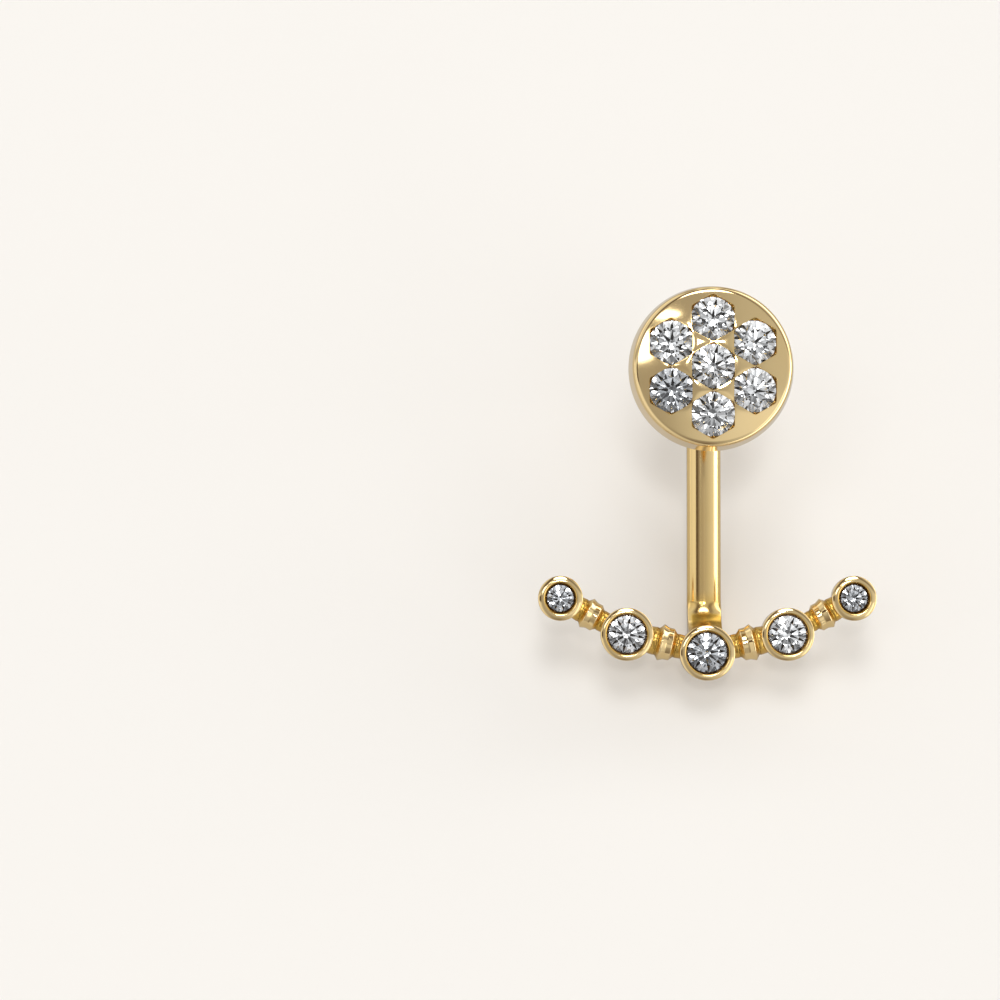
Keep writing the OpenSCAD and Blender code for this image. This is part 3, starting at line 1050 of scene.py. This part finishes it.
def paperSheet(s):
    corners = ((-1, "low"), (1, "low"), (1, "high"), (-1, "high"))
    slope = math.tan(math.radians(s["lean"]))
    verts = [Vector((side * s["halfWidth"], s["wallAt"] + slope * s[level], s[level])) * mm
             for side, level in corners]
    mesh = bpy.data.meshes.new("paper")
    mesh.from_pydata(verts, [], [(0, 1, 2, 3)])
    mesh.materials.append(creamPaper(s, "matt cream paper"))
    paper = bpy.data.objects.new("paper", mesh)
    bpy.context.scene.collection.objects.link(paper)


paperSheet(stageSet)


# Light: a key lamp above the camera and a tent of paler and darker panels round it

lampColor = "#FFFFFF"
lightSet = {
    "key": {"across": 0.0, "up": 10.5, "distance": 600.0, "width": 76.0, "height": 70.0, "radiance": 21.0},
    "top": {"across": 0.0, "up": 42.0, "distance": 600.0, "width": 260.0, "height": 290.0, "radiance": 3.8},
    "left": {"across": -20.0, "up": 10.0, "distance": 500.0, "width": 130.0, "height": 90.0,
             "radiance": 2.6},
    "upperLeft": {"across": -11.5, "up": 19.3, "distance": 500.0, "width": 80.0, "height": 24.0,
                  "radiance": 4.0},
}

tentSet = {
    "color": "#FFFFFF",
    "viewColor": "#FAF7F0",
    # Brightness by direction across, 0 at the camera and 90 at the right
    "across": ((-180, 0.75), (-112, 0.75), (-106, 1.5), (-94, 1.5), (-86, 0.85), (-60, 1.0), (-44, 0.9),
               (-28, 0.48), (0, 0.47), (28, 0.68), (50, 0.85), (64, 1.0), (67, 3.2), (94, 3.2), (99, 0.4),
               (112, 0.4), (124, 0.75), (180, 0.75)),
    # and its share by height of the direction, 1 straight up
    "heights": ((-1, 0.7), (-0.6, 0.95), (-0.14, 1.04), (0, 1.0), (1, 1.0)),
    # and by x times z of the direction, in the two upper corners
    "upperCorners": ((0, 1.0), (0.1, 1.0), (0.16, 0.55), (0.25, 0.55), (0.34, 0.9), (0.5, 0.9)),
    # A black card that gives the stem its line, a white one for the disc's lower part and one for the rims'
    # strips: where each begins, is full, and ends, across and up, and the share of the light that is left
    "cards": (((-50, -46, -43, -22), (-8, -3, 3, 8), 0.2), ((-14, 4, 23, 35), (-32, -22, -10, -3), 1.5),
              ((31, 36, 43, 49), (-42, -34, -9, -5), 2.4)),
    "warm": "#9A6A2E",  # the room's own tone, which shows where no panel is
    "warmLight": (0.1, 0.6),  # brightness up to which it is all there is, and from which it is gone
    # The stones look out through gaps between the tent's panels, which metal doesn't show
    "stoneHeights": ((-1, 0.28), (-0.6, 0.3), (-0.4, 0.38), (0, 1.15), (0.1, 1.2), (0.4, 2.3), (1, 2.3)),
    "stoneCorners": (0.13, 0.42, 0.25),  # x times z where they begin and are full, and the share left
    "camera": (-3.0, 12.0, 16.0, 0.03),  # dark round of camera and stand: across, two radii, share left
}


def lamp(name, s, color):
    data = bpy.data.lights.new(name, "AREA")
    data.shape = "ELLIPSE"
    data.size, data.size_y = s["width"] * mm, s["height"] * mm
    data.energy = math.pi * s["radiance"] * data.size * data.size_y
    data.color = hexColor(color)[:3]
    light = bpy.data.objects.new(name, data)
    way = directionFrom(s["across"], s["up"])
    light.location = way * s["distance"] * mm
    light.rotation_euler = way.to_track_quat("Z", "Y").to_euler()
    light.visible_camera = False
    bpy.context.scene.collection.objects.link(light)


def lightTent(s):
    world = bpy.data.worlds.new("tent")
    world.use_nodes = True
    bpy.context.scene.world = world
    tree = world.node_tree
    shader = tree.nodes["Background"]
    calc = mathIn(tree)

    def eases(value, *limits):
        return ranged(tree, value, *limits, kind="SMOOTHSTEP")

    def profile(value, stops):
        # Straight stretches between stops
        low, high, top = stops[0][0], stops[-1][0], max(level for _, level in stops)
        share = calc("MULTIPLY_ADD", value, 1 / (high - low), -low / (high - low))
        ramp = addNode(tree, "ShaderNodeValToRGB", {}, {"Fac": share})
        marks = ramp.color_ramp.elements
        while len(marks) < len(stops):
            marks.new(0.5)  # its place is set below
        for mark, (place, level) in zip(marks, stops):
            mark.position = (place - low) / (high - low)
            mark.color = (level / top,) * 3 + (1.0,)
        return calc("MULTIPLY", ramp.outputs["Color"], top)

    direction = addNode(tree, "ShaderNodeTexCoord").outputs["Generated"]
    way = addNode(tree, "ShaderNodeSeparateXYZ", {}, {0: direction}).outputs
    across = calc("ARCTAN2", way["X"], calc("MULTIPLY", way["Y"], -1.0))
    light = profile(across, [(math.radians(turn), value) for turn, value in s["across"]])
    light = calc("MULTIPLY", light, profile(way["Z"], s["heights"]))
    upper = calc("MULTIPLY", calc("ABSOLUTE", way["X"]), calc("MAXIMUM", way["Z"], 0.0))
    light = calc("MULTIPLY", light, profile(upper, s["upperCorners"]))
    for besides, levels, left in s["cards"]:
        spans = [(across, [math.radians(turn) for turn in besides]),
                 (way["Z"], [math.sin(math.radians(turn)) for turn in levels])]
        edges = [calc("MULTIPLY", eases(value, *stops[:2], 0.0, 1.0), eases(value, *stops[2:], 1.0, 0.0))
                 for value, stops in spans]
        light = calc("MULTIPLY", light, calc("MULTIPLY_ADD", calc("MULTIPLY", *edges), left - 1.0, 1.0))

    # What only the stones see
    start, full, left = s["stoneCorners"]
    corners = calc("MULTIPLY", calc("ABSOLUTE", way["X"]), calc("ABSOLUTE", way["Z"]))
    gaps = calc("MULTIPLY", eases(corners, start, full, 1.0, left), profile(way["Z"], s["stoneHeights"]))
    turn, inner, outer, left = s["camera"]
    toCamera = addNode(tree, "ShaderNodeVectorMath",
                       {"operation": "DOT_PRODUCT", 1: directionFrom(turn, 0.0)}, {0: direction})
    spot = eases(toCamera.outputs["Value"], math.cos(math.radians(outer)), math.cos(math.radians(inner)),
                 1.0, left)
    path = addNode(tree, "ShaderNodeLightPath").outputs
    inStone = calc("GREATER_THAN", path["Transmission Depth"], 0.5)
    shade = calc("MULTIPLY", light, calc("POWER", calc("MULTIPLY", spot, gaps), inStone))

    panels = calc("MAXIMUM", eases(light, *s["warmLight"]), inStone)
    tone = mixedColor(tree, panels, hexColor(s["warm"]), hexColor(s["color"]))
    bright = addNode(tree, "ShaderNodeBackground", {}, {"Color": tone, "Strength": shade})
    shader.inputs["Color"].default_value = hexColor(s["viewColor"])
    both = addNode(tree, "ShaderNodeMixShader", {},
                   {0: path["Is Camera Ray"], 1: bright.outputs[0], 2: shader.outputs[0]})
    tree.links.new(both.outputs[0], tree.nodes["World Output"].inputs["Surface"])


for lampName, settings in lightSet.items():
    lamp(lampName, settings, lampColor)
lightTent(tentSet)
print("stage and lights set")
